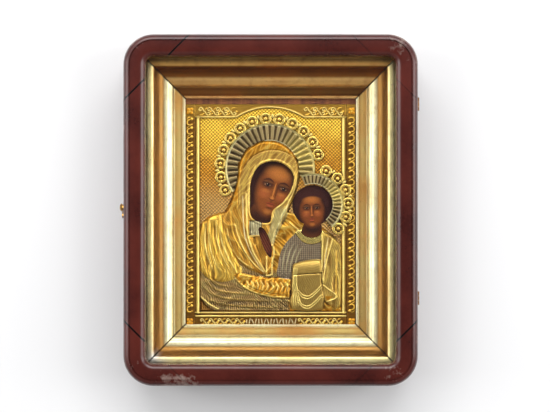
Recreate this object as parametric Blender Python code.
"""Icon in its glazed wooden case, lying on its back with the door shut.

A painted board under an embossed metal cover lies in a gilt liner, inside a shallow wooden
case with rounded corners. A glazed door, hinged on the right, closes over it. Metres, with
+Z towards the viewer and +Y to the top of the icon. The origin is the middle of the case's
back, on the surface that the case lies on.
"""

import math

import bmesh
import bpy
from mathutils import Matrix, Vector

MM = 0.001

# Clearances
FIT = 0.3 * MM
SEAM = 0.3 * MM

# Icon board, which the rest is made to fit
BOARD_WIDTH = 133.35 * MM
BOARD_HEIGHT = 177.8 * MM
BOARD_THICKNESS = 17 * MM
BOARD_EDGE = 1 * MM

# Gilt liner, across its moulding from the window outwards
LAP_AT_SIDES = 1.125 * MM
LAP_AT_BOTTOM = 8.5 * MM
GAP_AT_TOP = 4.3 * MM
WINDOW_WIDTH = BOARD_WIDTH - 2 * LAP_AT_SIDES
WINDOW_HEIGHT = BOARD_HEIGHT + GAP_AT_TOP - LAP_AT_BOTTOM
WINDOW_DROP = 1.1 * MM
LINER_WIDTH = 33 * MM
LIP_CLEARANCE = 0.7 * MM
LIP_THICKNESS = 1.6 * MM
LIP_WIDTH = 1.9 * MM
SLOPE_END = 8.5 * MM
SLOPE_RISE = 2.8 * MM
SWELL_END = 15 * MM
SWELL_RISE = 5.4 * MM
COVE_END = 22.3 * MM
CREST_WIDTH = 6.7 * MM
CREST_RISE = 2.2 * MM
LINER_LEG = 6 * MM
LINER_SHOULDER = 7.7 * MM
LIP_FLAT = 6 * MM
LINER_CHAMFER = 7 * MM
STRIP_ABOVE_BOARD = 5.5 * MM

# Case, with room for the liner to play inside its walls
WALL = 8 * MM
PLAY_AT_SIDES = 3.95 * MM
PLAY_AT_ENDS = 4.2 * MM
CASE_WIDTH = WINDOW_WIDTH + 2 * (LINER_WIDTH + PLAY_AT_SIDES + WALL)
CASE_HEIGHT = WINDOW_HEIGHT + 2 * (LINER_WIDTH + PLAY_AT_ENDS + WALL)
CASE_DEPTH = 46 * MM
CORNER_RADIUS = 22.7 * MM
CORNER_REACH = 50 * MM
CORNER_STEPS = 5
BACK_THICKNESS = 5 * MM

# Door frame, across its member from the outside to the inside
DOOR_THICKNESS = 15.7 * MM
DOOR_MEMBER = 16.5 * MM
BAND_WIDTH = 4.3 * MM
BAND_DROP = 5.5 * MM
BAND_STEP = 0.6 * MM
BAND_STEPS = 3
FACE_EDGE = 12 * MM
SLOPE_DROP = 4 * MM
REBATE_WIDTH = 4 * MM
REBATE_DEPTH = 6 * MM
GLASS_THICKNESS = 2 * MM
STRIP_WIDTH = 3.4 * MM
STRIP_HEIGHT = 3.2 * MM

# Embossed cover
BOARD_DROP = WINDOW_DROP + GAP_AT_TOP + (BOARD_HEIGHT - WINDOW_HEIGHT) / 2
PLATE_THICKNESS = 0.8 * MM
BORDER_THICKNESS = 2.4 * MM
BORDER_SIDE = 12.4 * MM
BORDER_TOP = 10.8 * MM
BORDER_BOTTOM = 18.4 * MM
ARCH_SPAN = 52.4 * MM
ARCH_RISE = 7.7 * MM
ARCH_STEPS = 8
BAR_WIDTH = 3.2 * MM
THIN_BAR_WIDTH = 1.8 * MM
BAR_RISE = 0.5 * MM
SCROLL_PITCH = 6.7 * MM
ORNAMENT_RISE = 0.45 * MM
CORNER_BOSS_RADIUS = 3 * MM

# The relief's drawing, in millimetres from the middle of a board of this width and height
DRAWING_SIZE = (133.35, 177.8)
DRAWN = BOARD_WIDTH / DRAWING_SIZE[0]
ROOT_DEPTH = 0.5 * MM
RIDGE_RISE = 0.7 * MM
WIDE_FOLD = 2.2 * MM
FINE_FOLD = 1.5 * MM
FOLD_END_SHARE = 0.3
BOSS_TOP_SHARE = 0.45
OPENING_STEPS = 2

# One ornament of the border: a knob beside a scroll
KNOB_PLACE = (1.6 * MM, 1.9 * MM)
KNOB_RADIUS = 1.15 * MM
SCROLL_CENTRE = (0, -1 * MM)
SCROLL_RADII = (2.3 * MM, 2 * MM)
SCROLL_ANGLES = (100, 310)
SCROLL_STEPS = 3
SCROLL_WIDTH = 1.2 * MM

# Inscription strip in the bottom border
STROKES = 15
STROKE_WIDTH = 1.1 * MM
STROKE_HALF_HEIGHTS = (2.1 * MM, 1.6 * MM, 1.1 * MM)
STRIP_ENDS = (-19, 19.5)

# Halos, with angles in degrees from the right
MOTHER_HALO_CENTRE = (-0.55, 39.5)
MOTHER_HALO_RADIUS = 34.6 * DRAWN
MOTHER_HALO_ARC = (-14, 212)
MOTHER_ROSETTE_ARC = (15.9, 206)
MOTHER_ROSETTES = 13
HALO_INNER_SHARE = 0.62
CHILD_HALO_CENTRE = (32.2, 12.1)
CHILD_HALO_RADIUS = 23.6 * DRAWN
CHILD_HALO_ARC = (-50, 112)
CHILD_ROSETTE_ARC = (-43.9, 68)
CHILD_ROSETTES = 6
HALO_THICKNESS = 0.8 * MM
RAY_RISE = 0.35 * MM
RAY_STEP = math.radians(6)
RIM_WIDTH = 1.1 * DRAWN
RIM_RISE = 0.25 * MM
ROSETTE_RADIUS = 4.3 * DRAWN
ROSETTE_HOLE = 1.7 * DRAWN
ROSETTE_REACH = 3.8 * DRAWN
ROSETTE_SIDES = 8
CHILD_HEAD_CENTRE = (32.25, 11.0)
CHILD_HEAD_RADIUS = 15.7 * DRAWN

# Hinges, on the door's right side
UPPER_HINGE_FROM_TOP = 51.8 * MM
LOWER_HINGE_FROM_BOTTOM = 65.4 * MM
HINGE_PLACES = {
    "upper": CASE_HEIGHT / 2 - UPPER_HINGE_FROM_TOP,
    "lower": LOWER_HINGE_FROM_BOTTOM - CASE_HEIGHT / 2,
}
HINGE_LENGTH = 10 * MM
HINGE_AXIS_OUT = 0.7 * MM
BARREL_RADIUS = 1.3 * MM
HINGE_PIN_RADIUS = 0.5 * MM
LEAF_WIDTH = 6 * MM
LEAF_THICKNESS = 0.8 * MM
BARREL_SIDES = 8
ROUND_SIDES = 10

# Hook, on the door's left side
HOOK_Y = 2 * MM
HOOK_REACH = 6.2 * MM
HOOK_ABOVE_SEAM = 3.7 * MM
HOOK_THICKNESS = 1.2 * MM
HOOK_EYE_RADIUS = 2.4 * MM
HOOK_ARM_WIDTH = 1.8 * MM
HOOK_TIP_RADIUS = 1.9 * MM
SCREW_RADIUS = 0.9 * MM
SCREW_LENGTH = 6 * MM
SCREW_HEAD_RADIUS = 3 * MM
SCREW_HEAD_HEIGHT = 1.4 * MM
CATCH_HEAD_RADIUS = 1.5 * MM
CATCH_HEAD_HEIGHT = 0.8 * MM

# Levels above the surface that the case lies on
DOOR_BACK = CASE_DEPTH + SEAM
DOOR_TOP = DOOR_BACK + DOOR_THICKNESS
GLASS_TOP = DOOR_BACK + REBATE_DEPTH - FIT
BOARD_BASE = BACK_THICKNESS + FIT
BOARD_FACE = BOARD_BASE + BOARD_THICKNESS
COVER_BASE = BOARD_FACE + FIT
FIELD = COVER_BASE + PLATE_THICKNESS
BORDER_FACE = COVER_BASE + BORDER_THICKNESS
BAR_TOP = BORDER_FACE + BAR_RISE
BODY_TOP = FIELD + 1.4 * MM
TUNIC_TOP = FIELD + 2 * MM
LAP_TOP = FIELD + 2.1 * MM
SLEEVE_TOP = FIELD + 2.4 * MM
COLLAR_TOP = FIELD + 2.5 * MM
VEIL_TOP = FIELD + 2.8 * MM
MANTLE_TOP = FIELD + 2.9 * MM
CLOTH_TOP = FIELD + 3.2 * MM
LIP_BASE = BORDER_FACE + LIP_CLEARANCE
LIP_TOP = LIP_BASE + LIP_THICKNESS
LINER_TOP = CASE_DEPTH - FIT
HINGE_AXIS_X = CASE_WIDTH / 2 + HINGE_AXIS_OUT
HINGE_AXIS_Z = CASE_DEPTH + SEAM / 2
HOOK_Z = DOOR_BACK + HOOK_ABOVE_SEAM

# Half the gap between two pieces that meet on a slanted cut, along the piece
MITRE_BACK = FIT / 2 * math.sqrt(2)

SIDES = ("right", "top", "left", "bottom")
CORNERS = {
    "top_right": (1, 1),
    "top_left": (-1, 1),
    "bottom_left": (-1, -1),
    "bottom_right": (1, -1),
}


def clear_scene():
    """Remove everything that the new file brought."""
    for item in list(bpy.data.objects):
        bpy.data.objects.remove(item, do_unlink=True)


def make_material(name, colour, roughness, metallic=0.0, transmission=0.0):
    """Return a plain Principled material."""
    material = bpy.data.materials.new(name)
    material.use_nodes = True
    shader = material.node_tree.nodes["Principled BSDF"]
    shader.inputs["Base Color"].default_value = (*colour, 1.0)
    shader.inputs["Roughness"].default_value = roughness
    shader.inputs["Metallic"].default_value = metallic
    shader.inputs["Transmission Weight"].default_value = transmission
    return material


def make_object(name, shape, material):
    """Turn a bmesh into a named object and free the bmesh."""
    bmesh.ops.recalc_face_normals(shape, faces=shape.faces)
    mesh = bpy.data.meshes.new(name)
    shape.to_mesh(mesh)
    shape.free()
    if material:
        mesh.materials.append(material)
    item = bpy.data.objects.new(name, mesh)
    bpy.context.collection.objects.link(item)
    return item


def combine(item, shape, operation):
    """Join a bmesh to an object, or cut it away, and keep the result as its mesh."""
    tool = make_object(f"{item.name}_tool", shape, None)
    tool.hide_render = True
    tool.display_type = "WIRE"
    modifier = item.modifiers.new(operation, "BOOLEAN")
    modifier.operation = operation
    modifier.solver = "EXACT"
    modifier.object = tool
    graph = bpy.context.evaluated_depsgraph_get()
    result = bpy.data.meshes.new_from_object(item.evaluated_get(graph))
    item.modifiers.remove(modifier)
    item.data = result
    bpy.data.objects.remove(tool, do_unlink=True)


def loft(shape, rings):
    """Add a solid through rings of equally many points, closed at both ends."""
    rows = [[shape.verts.new(point) for point in ring] for ring in rings]
    count = len(rows[0])
    for row, following in zip(rows, rows[1:]):
        for index in range(count):
            after = (index + 1) % count
            shape.faces.new((row[index], row[after], following[after], following[index]))
    shape.faces.new(rows[0])
    shape.faces.new(rows[-1])


def closed_loft(shape, rings):
    """Add a ring-shaped solid whose last ring meets its first."""
    rows = [[shape.verts.new(point) for point in ring] for ring in rings]
    count = len(rows[0])
    for row, following in zip(rows, rows[1:] + rows[:1]):
        for index in range(count):
            after = (index + 1) % count
            shape.faces.new((row[index], row[after], following[after], following[index]))


def prism(shape, outline, low, high):
    """Add an upright prism over an outline of (x, y) points."""
    loft(shape, [[(x, y, z) for x, y in outline] for z in (low, high)])


def new_prism(outline, low, high):
    """Return a bmesh that holds one upright prism."""
    shape = bmesh.new()
    prism(shape, outline, low, high)
    return shape


def new_cylinder(start, axis, radius, length, sides=ROUND_SIDES):
    """Return a bmesh that holds one cylinder, from a point along a direction."""
    shape = bmesh.new()
    turn = Vector(axis).normalized().to_track_quat("Z", "Y").to_matrix().to_4x4()
    middle = Vector(start) + Vector(axis).normalized() * length / 2
    bmesh.ops.create_cone(
        shape,
        cap_ends=True,
        segments=sides,
        radius1=radius,
        radius2=radius,
        depth=length,
        matrix=Matrix.Translation(middle) @ turn,
    )
    return shape


def new_block(low, high):
    """Return a bmesh that holds one box between two corners."""
    return new_prism(
        [(low[0], low[1]), (high[0], low[1]), (high[0], high[1]), (low[0], high[1])],
        low[2],
        high[2],
    )


def arc(centre, radii, start, end, steps):
    """Return points along an ellipse's arc, with its ends, from angles in degrees."""
    points = []
    for index in range(steps + 1):
        angle = math.radians(start + (end - start) * index / steps)
        points.append((centre[0] + radii[0] * math.cos(angle), centre[1] + radii[1] * math.sin(angle)))
    return points


def rounded_rectangle(inset):
    """Return the case's outline, moved inwards, as (x, y) points."""
    radius = CORNER_RADIUS - inset
    points = []
    for turn, (side_x, side_y) in enumerate(CORNERS.values()):
        centre_x = side_x * (CASE_WIDTH / 2 - CORNER_RADIUS)
        centre_y = side_y * (CASE_HEIGHT / 2 - CORNER_RADIUS)
        points += arc((centre_x, centre_y), (radius, radius), turn * 90, turn * 90 + 90, CORNER_STEPS)
    return points


def turned(side, out, along, height):
    """Return the world place of a point given by side, distance out and distance along."""
    angle = SIDES.index(side) * math.pi / 2
    cos, sin = round(math.cos(angle)), round(math.sin(angle))
    return (out * cos - along * sin, out * sin + along * cos, height)


def side_sizes(side, width, height):
    """Return half the size across a side's direction and half the size along it."""
    across, along = (width, height) if side in ("right", "left") else (height, width)
    return across / 2, along / 2


# Wooden case and door frame


def straight_member(side, section):
    """Return a bmesh of one straight side, its ends cut slantwise against the corner blocks."""
    across, along = side_sizes(side, CASE_WIDTH, CASE_HEIGHT)
    shape = bmesh.new()
    rings = []
    for sign in (-1, 1):
        ring = []
        for inset, height in section:
            end = along - (CORNER_REACH - inset) - MITRE_BACK
            ring.append(turned(side, across - inset, sign * end, height))
        rings.append(ring)
    loft(shape, rings)
    return shape


def corner_block(corner, section):
    """Return a bmesh of one rounded corner block with the same section as the sides."""
    side_x, side_y = CORNERS[corner]

    def place(from_x, from_y, height):
        return (side_x * (CASE_WIDTH / 2 - from_x), side_y * (CASE_HEIGHT / 2 - from_y), height)

    shape = bmesh.new()
    rings = [[place(inset, CORNER_REACH - inset - MITRE_BACK, z) for inset, z in section]]
    for index in range(CORNER_STEPS + 1):
        angle = math.pi / 2 * index / CORNER_STEPS
        ring = []
        for inset, height in section:
            radius = CORNER_RADIUS - inset
            from_x = CORNER_RADIUS - radius * math.cos(angle)
            from_y = CORNER_RADIUS - radius * math.sin(angle)
            ring.append(place(from_x, from_y, height))
        rings.append(ring)
    rings.append([place(CORNER_REACH - inset - MITRE_BACK, inset, z) for inset, z in section])
    loft(shape, rings)
    return shape


def wall_section():
    """Return the case wall's section, as (distance from the outside, height)."""
    return [(0, 0), (0, CASE_DEPTH), (WALL, CASE_DEPTH), (WALL, 0)]


def door_section():
    """Return the door member's section: rounded band, step, flat face, slope and rebate."""
    rebate_top = DOOR_BACK + REBATE_DEPTH
    band_centre = (BAND_WIDTH, DOOR_TOP - BAND_DROP)
    band = arc(band_centre, (BAND_WIDTH, BAND_DROP), 180, 90, BAND_STEPS)
    face = DOOR_TOP - BAND_STEP
    slope_run = DOOR_MEMBER - FACE_EDGE
    slope = arc((FACE_EDGE, face - SLOPE_DROP), (slope_run, SLOPE_DROP), 90, 0, 2)
    return [
        (0, DOOR_BACK),
        *band,
        (BAND_WIDTH + BAND_STEP / 2, face),
        *slope,
        (DOOR_MEMBER, rebate_top),
        (DOOR_MEMBER - REBATE_WIDTH, rebate_top),
        (DOOR_MEMBER - REBATE_WIDTH, DOOR_BACK),
    ]


def hinge_notch(base, top):
    """Return cutters for both hinges' leaves and barrels, between two levels."""
    shape = bmesh.new()
    half = HINGE_LENGTH / 2 + FIT
    inner = CASE_WIDTH / 2 - LEAF_WIDTH - FIT
    outer = HINGE_AXIS_X + 2 * BARREL_RADIUS
    barrel = HINGE_AXIS_X - BARREL_RADIUS - FIT
    barrel_low = HINGE_AXIS_Z - BARREL_RADIUS - FIT
    barrel_high = HINGE_AXIS_Z + BARREL_RADIUS + FIT
    section = [
        (inner, base),
        (barrel, base),
        (barrel, barrel_low),
        (outer, barrel_low),
        (outer, barrel_high),
        (barrel, barrel_high),
        (barrel, top),
        (inner, top),
    ]
    for place in HINGE_PLACES.values():
        loft(shape, [[(x, place + sign * half, z) for x, z in section] for sign in (-1, 1)])
    return shape


def build_case(wood):
    """Build the walls, the corner blocks and the back of the case."""
    notch_base = CASE_DEPTH - LEAF_THICKNESS - FIT
    for side in SIDES:
        wall = make_object(f"case_wall_{side}", straight_member(side, wall_section()), wood)
        if side == "right":
            combine(wall, hinge_notch(notch_base, CASE_DEPTH + FIT), "DIFFERENCE")
        if side == "left":
            hole = new_cylinder(
                (-CASE_WIDTH / 2 - FIT, HOOK_Y, HOOK_Z - HOOK_REACH),
                (1, 0, 0),
                SCREW_RADIUS + FIT,
                SCREW_LENGTH + 2 * FIT,
            )
            combine(wall, hole, "DIFFERENCE")
    for corner in CORNERS:
        block = make_object(f"case_corner_{corner}", corner_block(corner, wall_section()), wood)
        if CORNERS[corner][0] > 0:
            combine(block, hinge_notch(notch_base, CASE_DEPTH + FIT), "DIFFERENCE")
    back = new_prism(rounded_rectangle(WALL + FIT), 0, BACK_THICKNESS)
    make_object("case_back", back, wood)


def build_door(wood, glass):
    """Build the door's frame, its pane and the strips that hold the pane."""
    notch_top = DOOR_BACK + LEAF_THICKNESS + FIT
    for side in SIDES:
        rail = make_object(f"door_rail_{side}", straight_member(side, door_section()), wood)
        if side == "right":
            combine(rail, hinge_notch(DOOR_BACK - FIT, notch_top), "DIFFERENCE")
        if side == "left":
            hole = new_cylinder(
                (-CASE_WIDTH / 2 - FIT, HOOK_Y, HOOK_Z),
                (1, 0, 0),
                SCREW_RADIUS + FIT,
                SCREW_LENGTH + 2 * FIT,
            )
            combine(rail, hole, "DIFFERENCE")
    for corner in CORNERS:
        block = make_object(f"door_corner_{corner}", corner_block(corner, door_section()), wood)
        if CORNERS[corner][0] > 0:
            combine(block, hinge_notch(DOOR_BACK - FIT, notch_top), "DIFFERENCE")
    rebate_inset = DOOR_MEMBER - REBATE_WIDTH + FIT
    glass_base = GLASS_TOP - GLASS_THICKNESS
    pane = new_prism(rounded_rectangle(rebate_inset), glass_base, GLASS_TOP)
    make_object("door_glass", pane, glass)
    for side in SIDES:
        across, along = side_sizes(side, CASE_WIDTH, CASE_HEIGHT)
        out = across - rebate_inset
        end = along - CORNER_RADIUS
        top = glass_base - FIT
        corners = [(out, -end), (out, end), (out - STRIP_WIDTH, end), (out - STRIP_WIDTH, -end)]
        outline = [turned(side, across_by, along_by, 0)[:2] for across_by, along_by in corners]
        make_object(f"glazing_strip_{side}", new_prism(outline, top - STRIP_HEIGHT, top), wood)


# Gilt liner


def liner_section():
    """Return the moulding's section, as (distance out from the window, height)."""
    lip_round = LIP_THICKNESS / 3
    slope_top = LIP_TOP + SLOPE_RISE
    swell_top = slope_top + SWELL_RISE
    crest_base = LINER_TOP - CREST_RISE
    swell = arc((SWELL_END, slope_top), (SWELL_END - SLOPE_END, SWELL_RISE), 180, 90, 3)
    cove_rise = crest_base - swell_top
    cove = arc((SWELL_END, crest_base), (COVE_END - SWELL_END, cove_rise), -90, 0, 3)
    crest_middle = COVE_END + CREST_WIDTH / 2
    crest = arc((crest_middle, crest_base), (CREST_WIDTH / 2, CREST_RISE), 150, 20, 3)
    return [
        (0, LIP_BASE),
        (0, LIP_TOP - lip_round),
        (lip_round, LIP_TOP),
        (LIP_WIDTH - lip_round, LIP_TOP),
        (LIP_WIDTH, LIP_TOP - lip_round / 2),
        *swell,
        *cove[1:],
        *crest,
        (LINER_WIDTH, crest_base),
        (LINER_WIDTH, BACK_THICKNESS + FIT),
        (LINER_WIDTH - LINER_LEG, BACK_THICKNESS + FIT),
        (LINER_WIDTH - LINER_LEG, crest_base - LINER_SHOULDER),
        (LIP_FLAT, LIP_BASE),
    ]


def build_liner(gilt):
    """Build the four mitred sticks, clear of the case's rounded inner corners."""
    section = liner_section()
    for side in SIDES:
        across, along = side_sizes(side, WINDOW_WIDTH, WINDOW_HEIGHT)
        shape = bmesh.new()
        rings = []
        for sign in (-1, 1):
            ends = [sign * (along + out - MITRE_BACK) for out, _ in section]
            rings.append([turned(side, across + out, end, z) for (out, z), end in zip(section, ends)])
        loft(shape, rings)
        for sign_x, sign_y in CORNERS.values():
            reach_x = WINDOW_WIDTH / 2 + LINER_WIDTH - LINER_CHAMFER / 2
            reach_y = WINDOW_HEIGHT / 2 + LINER_WIDTH - LINER_CHAMFER / 2
            cut = bmesh.ops.bisect_plane(
                shape,
                geom=shape.verts[:] + shape.edges[:] + shape.faces[:],
                plane_co=(sign_x * reach_x, sign_y * reach_y, 0),
                plane_no=(sign_x, sign_y, 0),
                clear_outer=True,
            )
            rim = [item for item in cut["geom_cut"] if isinstance(item, bmesh.types.BMEdge)]
            if rim:
                bmesh.ops.edgeloop_fill(shape, edges=rim)
        bmesh.ops.translate(shape, verts=shape.verts, vec=(0, -WINDOW_DROP, 0))
        make_object(f"liner_{side}", shape, gilt)


# Icon board and its embossed cover


def spot(x, y):
    """Return the world (x, y) of a place in the relief's drawing."""
    return (x * BOARD_WIDTH / DRAWING_SIZE[0], y * BOARD_HEIGHT / DRAWING_SIZE[1] - BOARD_DROP)


def spots(points):
    """Return the world (x, y) of several places in the relief's drawing."""
    return [spot(x, y) for x, y in points]


def smooth(points, steps, closed=False):
    """Return points on a smooth curve through the given ones."""
    count = len(points)
    curve = []
    spans = count if closed else count - 1
    for index in range(spans):
        if closed:
            before, start, end, after = (points[(index + shift) % count] for shift in (-1, 0, 1, 2))
        else:
            start, end = points[index], points[index + 1]
            before = points[max(index - 1, 0)]
            after = points[min(index + 2, count - 1)]
        for step in range(steps):
            t = step / steps
            point = []
            for axis in (0, 1):
                a, b, c, d = before[axis], start[axis], end[axis], after[axis]
                linear = (c - a) * t
                square = (2 * a - 5 * b + 4 * c - d) * t * t
                cube = (3 * b - a - 3 * c + d) * t**3
                point.append(0.5 * (2 * b + linear + square + cube))
            curve.append(tuple(point))
    if not closed:
        curve.append(points[-1])
    return curve


def grown(outline, amount):
    """Return a closed outline moved outwards, whichever way round it runs."""
    count = len(outline)
    area = sum(
        outline[i][0] * outline[(i + 1) % count][1] - outline[(i + 1) % count][0] * outline[i][1]
        for i in range(count)
    )
    sign = 1 if area > 0 else -1
    moved = []
    for index, point in enumerate(outline):
        before, after = outline[index - 1], outline[(index + 1) % count]
        along = Vector((after[0] - before[0], after[1] - before[1])).normalized()
        moved.append((point[0] + sign * amount * along.y, point[1] - sign * amount * along.x))
    return moved


def pillow(outline, top, edge, rise):
    """Return a bmesh of a raised form whose rim slopes up to a flat top."""
    shape = new_prism(outline, FIELD - ROOT_DEPTH, top - rise)
    bmesh.ops.recalc_face_normals(shape, faces=shape.faces)
    shape.faces.ensure_lookup_table()
    upper = max(shape.faces, key=lambda face: face.calc_center_median().z)
    bmesh.ops.inset_region(shape, faces=[upper], thickness=edge, use_even_offset=True)
    bmesh.ops.translate(shape, verts=upper.verts, vec=(0, 0, rise))
    return shape


def ridge(shape, points, width, surface, rise, tapered=True):
    """Add a ridge with its crest along points, rooted below the surface that it stands on."""
    rings = []
    last = len(points) - 1
    for index, point in enumerate(points):
        before = points[max(index - 1, 0)]
        after = points[min(index + 1, last)]
        along = Vector((after[0] - before[0], after[1] - before[1])).normalized()
        share = 1.0
        if tapered:
            share = FOLD_END_SHARE + (1 - FOLD_END_SHARE) * math.sin(math.pi * index / last)
        side = Vector((-along.y, along.x)) * width / 2 * share
        left = (point[0] + side.x, point[1] + side.y)
        right = (point[0] - side.x, point[1] - side.y)
        root = FIELD - ROOT_DEPTH
        flank = surface - FIT / 2
        crest = surface + rise * share
        rings.append([
            (*left, root),
            (*left, flank),
            (*point, crest),
            (*right, flank),
            (*right, root),
        ])
    loft(shape, rings)


def boss(shape, centre, radius, surface, rise, sides=5):
    """Add a low knob that narrows upwards, rooted below its surface."""
    rings = []
    levels = (
        (1.0, FIELD - ROOT_DEPTH),
        (1.0, surface - FIT / 2),
        (BOSS_TOP_SHARE, surface + rise),
    )
    for share, height in levels:
        ring = []
        for index in range(sides):
            angle = 2 * math.pi * index / sides
            ring.append((
                centre[0] + radius * share * math.cos(angle),
                centre[1] + radius * share * math.sin(angle),
                height,
            ))
        rings.append(ring)
    loft(shape, rings)


def field_corners():
    """Return the sunk field's left, right, bottom and top edges."""
    left = -BOARD_WIDTH / 2 + BORDER_SIDE
    bottom = -BOARD_DROP - BOARD_HEIGHT / 2 + BORDER_BOTTOM
    top = -BOARD_DROP + BOARD_HEIGHT / 2 - BORDER_TOP
    return left, -left, bottom, top


def arch_points():
    """Return the arch over the mother's halo, from right to left."""
    top = field_corners()[3]
    centre_x = spot(*MOTHER_HALO_CENTRE)[0]
    radius = (ARCH_SPAN**2 / 4 + ARCH_RISE**2) / (2 * ARCH_RISE)
    half_angle = math.degrees(math.asin(ARCH_SPAN / 2 / radius))
    centre = (centre_x, top + ARCH_RISE - radius)
    return arc(centre, (radius, radius), 90 - half_angle, 90 + half_angle, ARCH_STEPS)


def field_outline():
    """Return the outline of the sunk field with its arched top."""
    left, right, bottom, top = field_corners()
    return [(left, bottom), (right, bottom), (right, top), *arch_points(), (left, top)]


def veil_outline():
    """Return the outline of the mother's veil, from her shoulder over the head to its point."""
    left_side = [(-37, 2), (-32.5, 12), (-28.7, 21.6), (-26.4, 31)]
    crown = arc((-1.6, 37.5), (24.2, 24.2), 178, 5, 8)
    right_side = [(22.4, 31), (20.2, 22.9), (16.5, 13), (12.5, 3), (6, -9), (2.4, -19), (1.6, -30)]
    left_edge = [(-1.5, -42.5), (-14.6, -39), (-23.7, -32), (-30.5, -20), (-35.5, -8)]
    return spots(left_side + crown + right_side + left_edge)


def body_outline():
    """Return the outline of the lower figures, from edge to edge of the sunk field."""
    left, right, bottom, _ = field_corners()
    overlap = BAR_WIDTH / 2
    low = bottom - overlap
    shoulder = spots([(-49.7, 1.1), (-41.8, 4.7), (-30, 7), (-10, 8), (14, 6), (24, 1), (40, -6)])
    mantle = spots([(48.7, -12.8), (52, -17)])
    hem = spots([(-37.5, -70.2), (-46, -65.5)])
    return [
        (left - overlap, spot(0, -58.7)[1]),
        (left - overlap, spot(0, -5.5)[1]),
        *shoulder,
        *mantle,
        (right + overlap, spot(0, -21)[1]),
        (right + overlap, low),
        (hem[0][0], low),
        *hem,
    ]


def child_opening():
    """Return the cut-out for the child's head and neck."""
    centre = spot(*CHILD_HEAD_CENTRE)
    head = arc(centre, (CHILD_HEAD_RADIUS, CHILD_HEAD_RADIUS), -64, 244, 20)
    neck = spots([(23.3, -9.6), (26.4, -12.7), (31.8, -13.9), (36.8, -12.7), (39.6, -9.6)])
    return head + neck


def mother_opening():
    """Return the cut-out for the mother's face and neck."""
    points = [
        (-15.4, 3.5), (-16, 17), (-15.2, 30), (-9.5, 41), (1, 45), (11.5, 42),
        (17.8, 33.5), (15.6, 22.9), (9, 13.5), (1.5, 7), (-0.7, -1.7), (-9, -1.8),
    ]
    return smooth(spots(points), OPENING_STEPS, closed=True)


def hand_opening():
    """Return the cut-out for the mother's hand."""
    points = [(-9.6, -7.5), (-5.8, -6.4), (-1.4, -13.5), (1, -22.5), (-0.4, -29.1), (-5.5, -21.5)]
    return smooth(spots(points), OPENING_STEPS, closed=True)


def border_ornament(shape, middle, angle):
    """Add one knob with its scroll, turned to lie along the border."""
    turn = Matrix.Rotation(angle, 2)

    def place(x, y):
        point = turn @ Vector((x, y))
        return (middle[0] + point.x, middle[1] + point.y)

    boss(shape, place(*KNOB_PLACE), KNOB_RADIUS, BORDER_FACE, ORNAMENT_RISE)
    scroll = arc(SCROLL_CENTRE, SCROLL_RADII, *SCROLL_ANGLES, SCROLL_STEPS)
    ridge(shape, [place(x, y) for x, y in scroll], SCROLL_WIDTH, BORDER_FACE, ORNAMENT_RISE)


def run_of_ornaments(shape, start, end, angle):
    """Add ornaments at even steps between two points of the border."""
    run = Vector(end) - Vector(start)
    count = max(1, round(run.length / SCROLL_PITCH))
    for index in range(count):
        middle = Vector(start) + run * (index + 0.5) / count
        border_ornament(shape, middle, angle)


def border_relief():
    """Return the border's ornaments, corner bosses and inscription strokes."""
    shape = bmesh.new()
    left, right, bottom, top = field_corners()
    board_top = -BOARD_DROP + BOARD_HEIGHT / 2
    visible = WINDOW_WIDTH / 2
    left_line = (left - BAR_WIDTH - visible) / 2
    right_line = (right + BAR_WIDTH + visible) / 2
    top_line = (top + THIN_BAR_WIDTH + board_top) / 2
    visible_bottom = -WINDOW_HEIGHT / 2 - WINDOW_DROP
    bottom_line = (bottom - 2.5 * THIN_BAR_WIDTH + visible_bottom) / 2
    run_of_ornaments(shape, (left_line, bottom), (left_line, top), 0)
    run_of_ornaments(shape, (right_line, top), (right_line, bottom), math.pi)
    arch_left = arch_points()[-1][0]
    arch_right = arch_points()[0][0]
    run_of_ornaments(shape, (left, top_line), (arch_left, top_line), -math.pi / 2)
    run_of_ornaments(shape, (arch_right, top_line), (right, top_line), -math.pi / 2)
    strip_left, strip_right = (spot(x, 0)[0] for x in STRIP_ENDS)
    run_of_ornaments(shape, (left, bottom_line), (strip_left, bottom_line), math.pi / 2)
    run_of_ornaments(shape, (strip_right, bottom_line), (right, bottom_line), math.pi / 2)
    for x in (left_line, right_line):
        for y in (top_line, bottom_line):
            boss(shape, (x, y), CORNER_BOSS_RADIUS, BORDER_FACE, ORNAMENT_RISE, sides=4)
    for index in range(STROKES):
        x = strip_left + (strip_right - strip_left) * (index + 0.5) / STROKES
        height = STROKE_HALF_HEIGHTS[index % len(STROKE_HALF_HEIGHTS)]
        ends = [(x, bottom_line - height), (x, bottom_line + height)]
        ridge(shape, ends, STROKE_WIDTH, BORDER_FACE, ORNAMENT_RISE, tapered=False)
    return shape


def border_bars():
    """Return the rounded bars along the inner edge of the border, one bmesh each."""
    left, right, bottom, top = field_corners()
    half = BAR_WIDTH / 2
    thin = THIN_BAR_WIDTH / 2
    arch = arch_points()
    runs = [
        ([(left - half, bottom - thin), (left - half, top + thin)], BAR_WIDTH),
        ([(right + half, bottom - thin), (right + half, top + thin)], BAR_WIDTH),
        ([(left - half, bottom - thin), (right + half, bottom - thin)], THIN_BAR_WIDTH),
        ([(left - half, bottom - 4 * thin), (right + half, bottom - 4 * thin)], THIN_BAR_WIDTH),
        ([(left - half, top + thin), (arch[-1][0], top + thin)], THIN_BAR_WIDTH),
        ([(arch[0][0], top + thin), (right + half, top + thin)], THIN_BAR_WIDTH),
        ([(x, y + thin) for x, y in arch], THIN_BAR_WIDTH * 0.9),
    ]
    bars = []
    for points, width in runs:
        shape = bmesh.new()
        ridge(shape, points, width, BORDER_FACE, BAR_RISE, tapered=False)
        bars.append(shape)
    return bars


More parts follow.
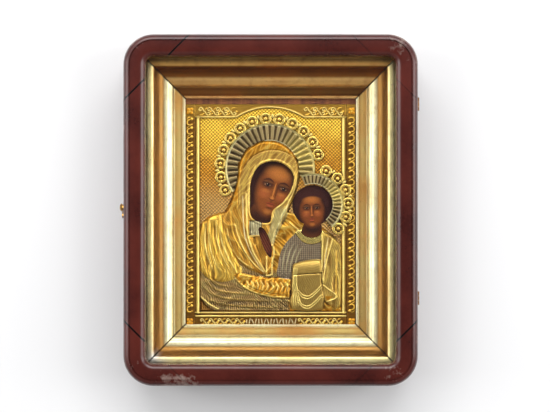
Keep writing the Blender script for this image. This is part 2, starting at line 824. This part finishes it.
def figure_forms():
    """Return the figures' main forms from the lowest to the highest, one bmesh each."""
    tunic = spots([
        (18.5, -11), (12, -17.5), (7.7, -24.8), (5.8, -34), (5.2, -43), (15.6, -45.5), (30, -44), (40, -40),
        (40.5, -25), (40, -9), (31.8, -12), (24, -8),
    ])
    collar = spots([
        (19.5, -9), (22.8, -15.2), (27, -18), (31.8, -18.8), (37.9, -17.2), (41, -14), (40.5, -8),
        (31.8, -12), (24, -7),
    ])
    mantle = spots([
        (39.2, -9.6), (47.6, -13.6), (50.5, -19), (50.6, -40), (50.2, -60), (46, -63), (41.5, -60),
        (39.6, -50), (39, -30),
    ])
    cloth = spots([(16.6, -33.6), (27, -31.2), (38.2, -30.4), (39.8, -48), (40.2, -69.5), (16.6, -69.5)])
    sleeve = spots([
        (-27.5, -43.5), (-22, -41.4), (-14.6, -42.6), (-3.2, -44.4), (13.5, -44.3), (14.5, -52),
        (13.8, -60.4), (-0.8, -59.4), (-14.6, -55.6), (-23.2, -50),
    ])
    lap = spots([
        (-54, -5), (-49.5, -1), (-40, 1.5), (-36, -12), (-30, -28), (-26, -40), (-40, -47), (-54, -36),
    ])
    return [
        pillow(body_outline(), BODY_TOP, 1.6 * MM, 0.9 * MM),
        pillow(lap, LAP_TOP, 2.4 * MM, 1 * MM),
        pillow(tunic, TUNIC_TOP, 1 * MM, 0.5 * MM),
        pillow(sleeve, SLEEVE_TOP, 1.2 * MM, 0.7 * MM),
        pillow(collar, COLLAR_TOP, 0.7 * MM, 0.4 * MM),
        pillow(veil_outline(), VEIL_TOP, 2.6 * MM, 1.3 * MM),
        pillow(mantle, MANTLE_TOP, 1.3 * MM, 0.9 * MM),
        pillow(cloth, CLOTH_TOP, 1.4 * MM, 1 * MM),
    ]


def fold_runs():
    """Return the drapery's folds as (points in the drawing, width, surface level)."""
    return [
        # Edge of the veil round the face and down to its point, as a double line
        ([(-18.3, 12), (-18.9, -2), (-17.2, -14), (-12.4, -26), (-3.6, -37.5)], WIDE_FOLD, VEIL_TOP),
        ([(-22, 4), (-22.2, -8), (-19.8, -20), (-14, -31), (-6, -39)], FINE_FOLD, VEIL_TOP),
        ([(-17.8, 22), (-17, 33), (-10.6, 43.2), (1, 47.4), (12.8, 44)], FINE_FOLD, VEIL_TOP),
        ([(19.6, 34), (17.8, 22.5), (11.2, 11.8), (4, 3.5)], FINE_FOLD, VEIL_TOP),
        ([(4.5, 1), (3.2, -8), (0.5, -33)], WIDE_FOLD, VEIL_TOP),
        # Folds falling from the mother's shoulder
        ([(-32, -6), (-29.4, -19), (-23, -30), (-14.4, -36.8)], WIDE_FOLD, VEIL_TOP),
        ([(-42, -2), (-40.5, -16), (-35, -30), (-30, -38)], WIDE_FOLD, LAP_TOP),
        ([(-47, -4), (-47, -18), (-43, -32), (-37, -42)], WIDE_FOLD, LAP_TOP),
        ([(-51, -8), (-51.5, -20), (-48.5, -34)], WIDE_FOLD, LAP_TOP),
        ([(-33, -44), (-38, -48), (-44, -50), (-50, -48)], WIDE_FOLD, BODY_TOP),
        ([(-30, -51), (-38, -56), (-46, -57)], WIDE_FOLD, BODY_TOP),
        ([(-22, -57), (-30, -61), (-40, -64)], WIDE_FOLD, BODY_TOP),
        ([(-8, -62.5), (-20, -64), (-30, -67)], FINE_FOLD, BODY_TOP),
        ([(12, -63), (0, -65), (-12, -68)], FINE_FOLD, BODY_TOP),
        # The mother's sleeve, held across
        ([(-24, -46), (-18, -51), (-8, -55.6), (10, -57.6)], FINE_FOLD, SLEEVE_TOP),
        ([(-16, -46), (-8, -48), (10, -49.5)], FINE_FOLD, SLEEVE_TOP),
        # The child's tunic and mantle
        ([(14, -18), (10.5, -27), (9, -38)], FINE_FOLD, TUNIC_TOP),
        ([(19, -20), (16, -28), (12.5, -40)], FINE_FOLD, TUNIC_TOP),
        ([(44.6, -16), (42.6, -32), (41.2, -46)], FINE_FOLD, MANTLE_TOP),
        ([(48.4, -20), (48.6, -38), (48.2, -56)], FINE_FOLD, MANTLE_TOP),
        # The cloth in front of the child, a rolled edge with swags below
        ([(19, -35.6), (28, -34), (37, -33)], WIDE_FOLD, CLOTH_TOP),
        ([(19, -39), (28, -38), (37.4, -37.2)], WIDE_FOLD, CLOTH_TOP),
        ([(18.6, -46), (18.4, -56), (18.6, -66)], WIDE_FOLD, CLOTH_TOP),
        ([(20.5, -54), (24, -57.6), (29, -58.2), (37.6, -51)], FINE_FOLD, CLOTH_TOP),
        ([(20.5, -60), (25, -65), (31, -66), (37.8, -63.6)], FINE_FOLD, CLOTH_TOP),
    ]


def build_icon(wood, metal):
    """Build the board, the packing strip above it and the embossed cover."""
    half_width = BOARD_WIDTH / 2
    low_y = -BOARD_DROP - BOARD_HEIGHT / 2
    high_y = -BOARD_DROP + BOARD_HEIGHT / 2
    board = new_block((-half_width, low_y, BOARD_BASE), (half_width, high_y, BOARD_FACE))
    back_edges = [edge for edge in board.edges if all(vert.co.z < BOARD_FACE - FIT for vert in edge.verts)]
    bmesh.ops.bevel(board, geom=back_edges, offset=BOARD_EDGE, segments=1, affect="EDGES", profile=0.5)
    make_object("icon_board", board, wood)
    strip_low = high_y + FIT
    strip = new_block(
        (-half_width, strip_low, BOARD_BASE),
        (half_width, strip_low + STRIP_ABOVE_BOARD, FIELD),
    )
    make_object("packing_strip", strip, wood)

    plate = new_block((-half_width, low_y, COVER_BASE), (half_width, high_y, BORDER_FACE))
    cover = make_object("icon_cover", plate, metal)
    combine(cover, new_prism(field_outline(), FIELD, BORDER_FACE + FIT), "DIFFERENCE")
    for form in figure_forms():
        combine(cover, form, "UNION")
    for points, width, surface in fold_runs():
        fold = bmesh.new()
        ridge(fold, spots(points), width, surface, RIDGE_RISE)
        combine(cover, fold, "UNION")
    for bar in border_bars():
        combine(cover, bar, "UNION")
    combine(cover, border_relief(), "UNION")
    for outline in (mother_opening(), child_opening(), hand_opening()):
        combine(cover, new_prism(outline, BOARD_FACE, LIP_TOP), "DIFFERENCE")


def rayed_ring(centre, inner, outer, start, end, base):
    """Return a bmesh of part of a rayed ring, between two angles in degrees."""
    count = max(2, round(math.radians(end - start) / RAY_STEP))
    rings = []
    for index in range(count + 1):
        angle = math.radians(start + (end - start) * index / count)
        ray = base + HALO_THICKNESS + RAY_RISE * (index % 2)
        rim = base + HALO_THICKNESS + RAY_RISE + RIM_RISE
        section = [(inner, base), (outer, base), (outer, rim), (outer - RIM_WIDTH, ray), (inner, ray)]
        rings.append([
            (centre[0] + radius * math.cos(angle), centre[1] + radius * math.sin(angle), height)
            for radius, height in section
        ])
    shape = bmesh.new()
    loft(shape, rings)
    return shape


def rosette_row(centre, radius, start, end, count, base):
    """Return a bmesh of separate pierced rosettes along an arc, angles in degrees."""
    shape = bmesh.new()
    top = base + HALO_THICKNESS
    for index in range(count):
        angle = math.radians(start + (end - start) * index / (count - 1))
        middle = (centre[0] + radius * math.cos(angle), centre[1] + radius * math.sin(angle))
        rings = []
        for side in range(ROSETTE_SIDES):
            turn = 2 * math.pi * (side + 0.5) / ROSETTE_SIDES + angle
            direction = (math.cos(turn), math.sin(turn))
            ring = []
            for reach, height in (
                (ROSETTE_HOLE, base),
                (ROSETTE_RADIUS, base),
                (ROSETTE_RADIUS - RIM_WIDTH, top),
            ):
                ring.append((middle[0] + reach * direction[0], middle[1] + reach * direction[1], height))
            rings.append(ring)
        closed_loft(shape, rings)
    return shape


def build_halos(metal):
    """Build the two halos, the child's above the mother's, both cut back to the veil."""
    clearance = 2 * FIT
    veil = grown(veil_outline(), clearance)
    mother = spot(*MOTHER_HALO_CENTRE)
    base = FIELD + FIT
    inner = MOTHER_HALO_RADIUS * HALO_INNER_SHARE
    ring = rayed_ring(mother, inner, MOTHER_HALO_RADIUS, *MOTHER_HALO_ARC, base)
    halo = make_object("mother_halo", ring, metal)
    reach = MOTHER_HALO_RADIUS + ROSETTE_REACH
    row = rosette_row(mother, reach, *MOTHER_ROSETTE_ARC, MOTHER_ROSETTES, base)
    combine(halo, row, "UNION")
    combine(halo, new_prism(veil, base - FIT, base + LIP_TOP), "DIFFERENCE")

    child = spot(*CHILD_HALO_CENTRE)
    base = BAR_TOP + FIT
    inner = CHILD_HEAD_RADIUS + 2 * FIT
    ring = rayed_ring(child, inner, CHILD_HALO_RADIUS, *CHILD_HALO_ARC, base)
    halo = make_object("child_halo", ring, metal)
    reach = CHILD_HALO_RADIUS + ROSETTE_REACH
    row = rosette_row(child, reach, *CHILD_ROSETTE_ARC, CHILD_ROSETTES, base)
    combine(halo, row, "UNION")
    combine(halo, new_prism(veil, base - FIT, base + LIP_TOP), "DIFFERENCE")


# Hinges and hook


def build_hinges(brass):
    """Build both hinges: a door leaf with the middle knuckle, a case leaf with two, a pin."""
    knuckle = (HINGE_LENGTH - 2 * FIT) / 3
    hole = HINGE_PIN_RADIUS + FIT
    leaf_out = HINGE_AXIS_X - BARREL_RADIUS / 2
    inner = CASE_WIDTH / 2 - LEAF_WIDTH
    for name, place in HINGE_PLACES.items():
        low_y = place - HINGE_LENGTH / 2
        high_y = place + HINGE_LENGTH / 2
        case_base = CASE_DEPTH - LEAF_THICKNESS
        case_plate = new_block((inner, low_y, case_base), (leaf_out, high_y, CASE_DEPTH))
        case_leaf = make_object(f"hinge_{name}_case_leaf", case_plate, brass)
        door_plate = new_block((inner, low_y, DOOR_BACK), (leaf_out, high_y, DOOR_BACK + LEAF_THICKNESS))
        door_leaf = make_object(f"hinge_{name}_door_leaf", door_plate, brass)
        middle_low = low_y + knuckle + FIT
        knuckles = {low_y: case_leaf, middle_low: door_leaf, high_y - knuckle: case_leaf}
        for start, owner in knuckles.items():
            clear_point = (HINGE_AXIS_X, start - FIT, HINGE_AXIS_Z)
            room_length = knuckle + 2 * FIT
            room = new_cylinder(clear_point, (0, 1, 0), BARREL_RADIUS + FIT, room_length, BARREL_SIDES)
            combine(door_leaf if owner is case_leaf else case_leaf, room, "DIFFERENCE")
        for start, owner in knuckles.items():
            axis_point = (HINGE_AXIS_X, start, HINGE_AXIS_Z)
            barrel = new_cylinder(axis_point, (0, 1, 0), BARREL_RADIUS, knuckle, BARREL_SIDES)
            combine(owner, barrel, "UNION")
        for leaf in (case_leaf, door_leaf):
            bore_point = (HINGE_AXIS_X, low_y - FIT, HINGE_AXIS_Z)
            bore = new_cylinder(bore_point, (0, 1, 0), hole, HINGE_LENGTH + 2 * FIT, BARREL_SIDES)
            combine(leaf, bore, "DIFFERENCE")
        pin_point = (HINGE_AXIS_X, low_y, HINGE_AXIS_Z)
        pin = new_cylinder(pin_point, (0, 1, 0), HINGE_PIN_RADIUS, HINGE_LENGTH, BARREL_SIDES)
        make_object(f"hinge_{name}_pin", pin, brass)


def build_hook(brass):
    """Build the hook lying along the door's edge, its screw, and the catch pin on the case."""
    face = -CASE_WIDTH / 2
    hook_outer = face - FIT - HOOK_THICKNESS
    out = (-1, 0, 0)
    hook_side = face - FIT
    tip_y = HOOK_Y - HOOK_REACH
    shape = new_cylinder((hook_side, HOOK_Y, HOOK_Z), out, HOOK_EYE_RADIUS, HOOK_THICKNESS)
    hook = make_object("hook", shape, brass)
    tip = new_cylinder((hook_side, tip_y, HOOK_Z), out, HOOK_TIP_RADIUS, HOOK_THICKNESS)
    combine(hook, tip, "UNION")
    half = HOOK_ARM_WIDTH / 2
    arm = new_block(
        (hook_outer + FIT / 3, tip_y + SCREW_RADIUS, HOOK_Z - half),
        (hook_side - FIT / 3, HOOK_Y, HOOK_Z + half),
    )
    combine(hook, arm, "UNION")
    clear = SCREW_RADIUS + FIT
    eye = new_cylinder((face, HOOK_Y, HOOK_Z), out, clear, HOOK_THICKNESS + 2 * FIT)
    combine(hook, eye, "DIFFERENCE")
    notch = new_cylinder((face, tip_y, HOOK_Z), out, clear, HOOK_THICKNESS + 2 * FIT)
    combine(hook, notch, "DIFFERENCE")
    mouth = new_block(
        (hook_outer - FIT, tip_y - clear * 0.9, HOOK_Z - 2 * HOOK_TIP_RADIUS),
        (face, tip_y + clear * 0.9, HOOK_Z),
    )
    combine(hook, mouth, "DIFFERENCE")

    head_x = hook_outer - FIT
    for name, height, head_radius, head_height in (
        ("hook_screw", HOOK_Z, SCREW_HEAD_RADIUS, SCREW_HEAD_HEIGHT),
        ("hook_catch_pin", HOOK_Z - HOOK_REACH, CATCH_HEAD_RADIUS, CATCH_HEAD_HEIGHT),
    ):
        shank_start = (face + SCREW_LENGTH, HOOK_Y, height)
        shank_length = SCREW_LENGTH - (head_x - face) + head_height / 2
        piece = make_object(name, new_cylinder(shank_start, out, SCREW_RADIUS, shank_length), brass)
        head = bmesh.new()
        rings = []
        for share, depth in ((1.0, 0.0), (1.0, 0.35), (0.6, 1.0)):
            ring = []
            for side in range(ROUND_SIDES):
                angle = 2 * math.pi * side / ROUND_SIDES
                ring.append((
                    head_x - depth * head_height,
                    HOOK_Y + head_radius * share * math.cos(angle),
                    height + head_radius * share * math.sin(angle),
                ))
            rings.append(ring)
        loft(head, rings)
        combine(piece, head, "UNION")


def main():
    """Build every piece of the object."""
    clear_scene()
    lacquer = make_material("lacquered_wood", (0.075, 0.028, 0.022), 0.35)
    bare_wood = make_material("bare_wood", (0.32, 0.17, 0.08), 0.7)
    gilt = make_material("gilt_wood", (0.62, 0.43, 0.15), 0.4, metallic=0.8)
    cover_metal = make_material("gilt_silver", (0.72, 0.52, 0.2), 0.35, metallic=1.0)
    brass = make_material("brass", (0.5, 0.36, 0.15), 0.4, metallic=1.0)
    glass = make_material("glass", (1, 1, 1), 0.02, transmission=1.0)
    build_case(lacquer)
    build_door(lacquer, glass)
    build_liner(gilt)
    build_icon(bare_wood, cover_metal)
    build_halos(cover_metal)
    build_hinges(brass)
    build_hook(brass)


main()
